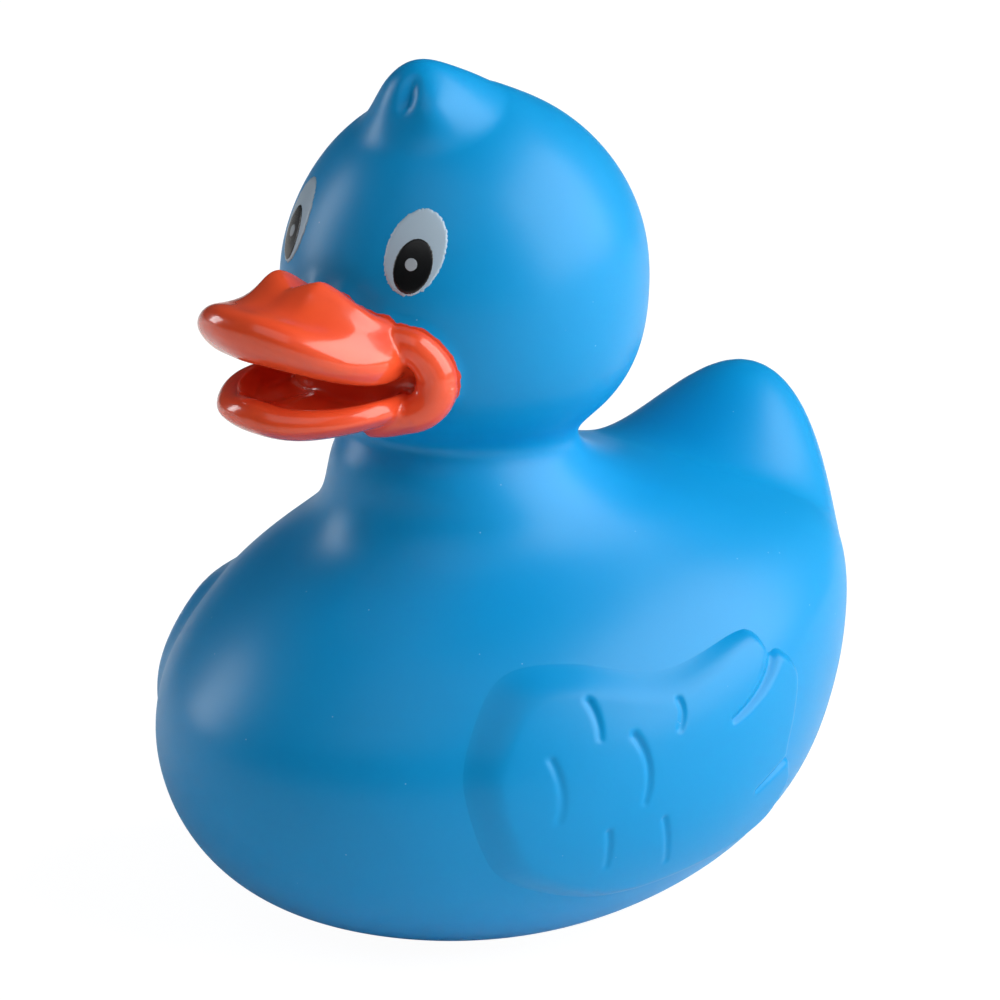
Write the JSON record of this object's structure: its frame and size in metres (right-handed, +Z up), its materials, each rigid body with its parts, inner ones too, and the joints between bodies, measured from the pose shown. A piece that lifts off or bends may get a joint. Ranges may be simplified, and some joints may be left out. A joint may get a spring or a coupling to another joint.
{
  "type": "rubber duck",
  "caption": "Hollow moulded bath duck with an open bill, a raised crest and tail, and folded wings in low relief; stands on a small flat base.",
  "frame": {"origin": "centre of the bounding box at floor level, under the body", "axes": "+Z up, the duck looks towards -Y, the tail points towards +Y"},
  "size_m": [0.0662, 0.077, 0.0897],
  "materials": {
    "blue_vinyl": "satin soft vinyl",
    "orange_paint": "glossy enamel on the bill",
    "white_paint": "enamel on the whites of the eyes",
    "black_paint": "enamel on the pupils"
  },
  "bodies": {
    "root": {"duck": "blue_vinyl"}
  },
  "joints": []
}
